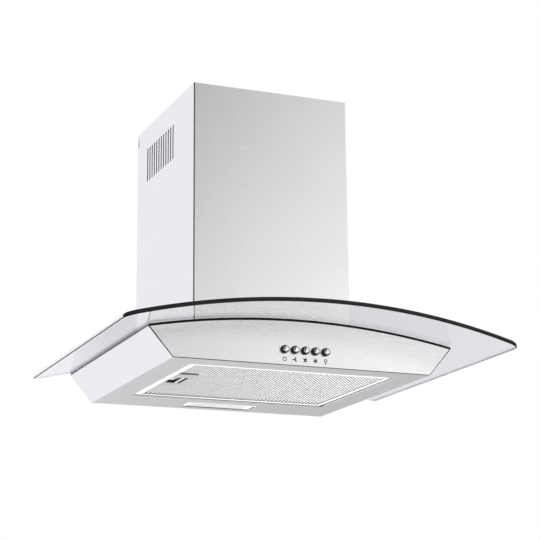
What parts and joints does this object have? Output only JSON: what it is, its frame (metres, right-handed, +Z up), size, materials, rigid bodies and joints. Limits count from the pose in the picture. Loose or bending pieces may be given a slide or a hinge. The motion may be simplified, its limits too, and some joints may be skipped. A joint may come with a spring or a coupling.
{
  "type": "wall mount range hood",
  "caption": "Wall-mounted range hood with an arched glass canopy over a slim steel body, telescopic chimney, push buttons, lamp and a drop-down grease filter.",
  "frame": {"origin": "on the wall plane, at the middle of the lower edge of the back panel", "axes": "+X to the hood's right as seen from the front, +Y into the wall, +Z up"},
  "size_m": [0.6, 0.506, 0.4585],
  "materials": {
    "stainless": "brushed",
    "galvanised": "galvanised",
    "zinc": "zinc plated",
    "clear_glass": "polished",
    "black_rubber": "matte",
    "laminations": "stacked",
    "motor_paint": "cast",
    "black_plastic": "moulded",
    "grey_plastic": "moulded",
    "capacitor_white": "moulded",
    "chrome": "polished",
    "filter_aluminium": "satin",
    "latch_grey": "satin",
    "latch_light": "satin",
    "frosted_lens": "frosted",
    "board": "solder mask",
    "led_yellow": "resin"
  },
  "bodies": {
    "hood": {"back_panel": "galvanised", "blower_housing": "galvanised", "blower_seal": "black_rubber", "blower_top_plate": "galvanised", "cable_gland": "black_plastic", "canopy_shell": "stainless", "canopy_top_plate": "galvanised", "chimney_outer": "stainless", "clamp_nuts": "zinc", "clamp_screws": "zinc", "collar_flange": "black_plastic", "collar_screws": "zinc", "control_box": "grey_plastic", "control_lid": "grey_plastic", "duct_collar": "black_plastic", "flap_pin": "zinc", "flap_seat": "black_plastic", "front_fascia": "stainless", "glass_bushes": "black_rubber", "glass_canopy": "clear_glass", "glass_gasket": "black_rubber", "lamp_driver": "capacitor_white", "lamp_housing": "capacitor_white", "lamp_lens": "frosted_lens", "led_board": "board", "led_chips": "led_yellow", "lower_wall_bracket": "galvanised", "motor_bearings": "zinc", "motor_bell_front": "motor_paint", "motor_bell_rear": "motor_paint", "motor_bolts": "zinc", "motor_bracket": "galvanised", "motor_capacitor": "capacitor_white", "motor_stator": "laminations", "scroll_left": "black_plastic", "scroll_right": "black_plastic", "switch_block": "black_plastic"},
    "fan_rotor": {"fan_wheel": "black_plastic", "wheel_nut": "zinc", "motor_shaft": "zinc", "motor_rotor": "laminations"},
    "flap_left_body": {"flap_left": "grey_plastic"},
    "flap_right_body": {"flap_right": "grey_plastic"},
    "grease_filter": {"filter_frame": "filter_aluminium", "filter_face_sheet": "filter_aluminium", "filter_core": "filter_aluminium", "filter_back_sheet": "filter_aluminium", "latch_case": "latch_grey"},
    "filter_latch": {"latch_slider": "latch_light"},
    "upper_chimney": {"chimney_inner": "stainless", "upper_wall_bracket": "galvanised"},
    "key_off": {"button_off": "chrome"},
    "key_low": {"button_low": "chrome"},
    "key_medium": {"button_medium": "chrome"},
    "key_high": {"button_high": "chrome"},
    "key_light": {"button_light": "chrome"}
  },
  "joints": [
    {"name": "press_off", "type": "slide", "parent": "hood", "child": "key_off", "axis": [0, 1, 0], "range_m": [0, 0.003], "stiffness_N_per_m": 300},
    {"name": "press_low", "type": "slide", "parent": "hood", "child": "key_low", "axis": [0, 1, 0], "range_m": [0, 0.003], "stiffness_N_per_m": 300},
    {"name": "press_medium", "type": "slide", "parent": "hood", "child": "key_medium", "axis": [0, 1, 0], "range_m": [0, 0.003], "stiffness_N_per_m": 300},
    {"name": "press_high", "type": "slide", "parent": "hood", "child": "key_high", "axis": [0, 1, 0], "range_m": [0, 0.003], "stiffness_N_per_m": 300},
    {"name": "press_light", "type": "slide", "parent": "hood", "child": "key_light", "axis": [0, 1, 0], "range_m": [0, 0.003], "stiffness_N_per_m": 300},
    {"name": "fan_spin", "type": "hinge", "parent": "hood", "child": "fan_rotor", "pos_m": [0, -0.163, 0.186], "axis": [1, 0, 0], "continuous": true},
    {"name": "flap_left_swing", "type": "hinge", "parent": "hood", "child": "flap_left_body", "pos_m": [0, -0.098, 0.306], "axis": [0, 1, 0], "range_deg": [0, 75]},
    {"name": "flap_right_swing", "type": "hinge", "parent": "hood", "child": "flap_right_body", "pos_m": [0, -0.098, 0.306], "axis": [0, -1, 0], "range_deg": [0, 75]},
    {"name": "filter_swing", "type": "hinge", "parent": "hood", "child": "grease_filter", "pos_m": [0.1555, -0.2235, 0.0055], "axis": [0, -1, 0], "range_deg": [0, 70]},
    {"name": "latch_slide", "type": "slide", "parent": "grease_filter", "child": "filter_latch", "axis": [1, 0, 0], "range_m": [-0.0025, 0.005], "stiffness_N_per_m": 200, "springref_m": -0.0025},
    {"name": "chimney_raise", "type": "slide", "parent": "hood", "child": "upper_chimney", "axis": [0, 0, 1], "range_m": [0, 0.28]}
  ]
}
